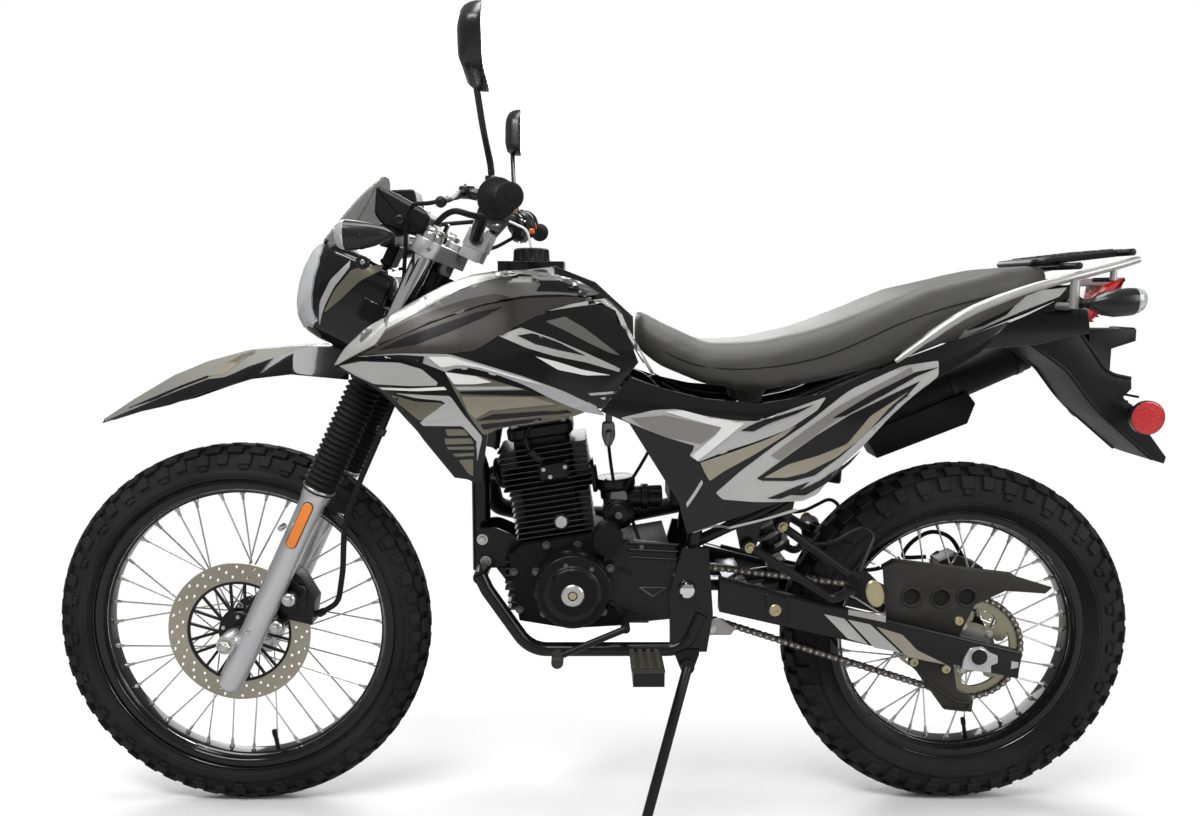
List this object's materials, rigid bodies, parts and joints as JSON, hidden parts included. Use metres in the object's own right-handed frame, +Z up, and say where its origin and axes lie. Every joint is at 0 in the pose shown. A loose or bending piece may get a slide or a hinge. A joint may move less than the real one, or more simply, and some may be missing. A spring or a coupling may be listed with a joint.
{
  "type": "dual sport motorcycle",
  "caption": "Black on-road and off-road motorcycle with wire wheels, gaitered front fork, high mudguard, shrouded tank, long seat and rear rack, leaning on its side stand.",
  "frame": {"origin": "on the floor, midway between the two wheel axles, in the line that the tyres stand on", "axes": "+X to the front of the machine, +Y to its left, the side it leans to on its stand, +Z up"},
  "size_m": [2.0272, 0.8696, 1.4013],
  "materials": {
    "frame_black": "satin",
    "engine_black": "satin",
    "fin_black": "satin",
    "carburettor_alloy": "cast",
    "header_steel": "heat dulled",
    "silencer_black": "matte",
    "tank_gloss": "gloss",
    "cap_black": "matte",
    "shroud_gloss": "gloss",
    "seat_vinyl": "grained",
    "panel_gloss": "gloss",
    "rail_silver": "satin",
    "rack_black": "satin",
    "lamp_red": "gloss",
    "mudguard_black": "matte",
    "caliper_black": "satin",
    "spring_black": "gloss",
    "chain_steel": "oiled",
    "peg_steel": "satin",
    "fork_alloy": "satin",
    "gaiter_rubber": "matte",
    "lens_clear": "clear",
    "screen_smoke": "smoked",
    "dash_black": "matte",
    "signal_black": "satin",
    "bar_black": "satin",
    "grip_rubber": "matte",
    "hose_rubber": "matte",
    "tyre_rubber": "matte",
    "wheel_black": "gloss",
    "disc_steel": "ground",
    "sprocket_steel": "plated"
  },
  "bodies": {
    "chassis": {"frame": "frame_black", "frame_cradle": "frame_black", "engine_case": "engine_black", "engine_cylinder": "fin_black", "carburettor": "carburettor_alloy", "exhaust_header": "header_steel", "muffler": "silencer_black", "fuel_tank": "tank_gloss", "fuel_cap": "cap_black", "tank_shrouds": "shroud_gloss", "seat": "seat_vinyl", "side_panels": "panel_gloss", "tail_fairing": "panel_gloss", "grab_rails": "rail_silver", "luggage_rack": "rack_black", "rear_lamps": "lamp_red", "rear_fender": "mudguard_black", "swingarm": "frame_black", "rear_shock": "spring_black", "rear_caliper": "caliper_black", "drive_chain": "chain_steel", "chain_guard": "mudguard_black", "footpegs": "peg_steel", "foot_controls": "peg_steel"},
    "steering": {"triple_clamps": "fork_alloy", "fork_legs": "fork_alloy", "fork_gaiters": "gaiter_rubber", "front_fender": "shroud_gloss", "headlight_cowl": "panel_gloss", "headlight_lens": "lens_clear", "windscreen": "screen_smoke", "instruments": "dash_black", "front_signals": "signal_black", "handlebar": "bar_black", "grips": "grip_rubber", "hand_controls": "bar_black", "mirrors": "dash_black", "front_caliper": "caliper_black", "hose_and_cable": "hose_rubber"},
    "front_wheel": {"front_tyre": "tyre_rubber", "front_wire_wheel": "wheel_black", "front_disc": "disc_steel"},
    "rear_wheel": {"rear_tyre": "tyre_rubber", "rear_wire_wheel": "wheel_black", "rear_disc": "disc_steel", "rear_sprocket": "sprocket_steel"},
    "stand": {"side_stand": "frame_black"}
  },
  "joints": [
    {"name": "steer", "type": "hinge", "parent": "chassis", "child": "steering", "pos_m": [0.61425, 0.04448, 0.31702], "axis": [-0.4305, 0.1256, 0.8938], "range_deg": [-38, 38]},
    {"name": "front_spin", "type": "hinge", "parent": "steering", "child": "front_wheel", "pos_m": [0.6675, 0.04802, 0.34217], "axis": [0, 0.9903, -0.1392], "continuous": true},
    {"name": "rear_spin", "type": "hinge", "parent": "chassis", "child": "rear_wheel", "pos_m": [-0.6675, 0.04565, 0.32533], "axis": [0, 0.9903, -0.1392], "continuous": true},
    {"name": "stand_fold", "type": "hinge", "parent": "chassis", "child": "stand", "pos_m": [-0.15, 0.1658, 0.28926], "axis": [0, 0.9966, 0.0819], "range_deg": [0, 90]}
  ]
}
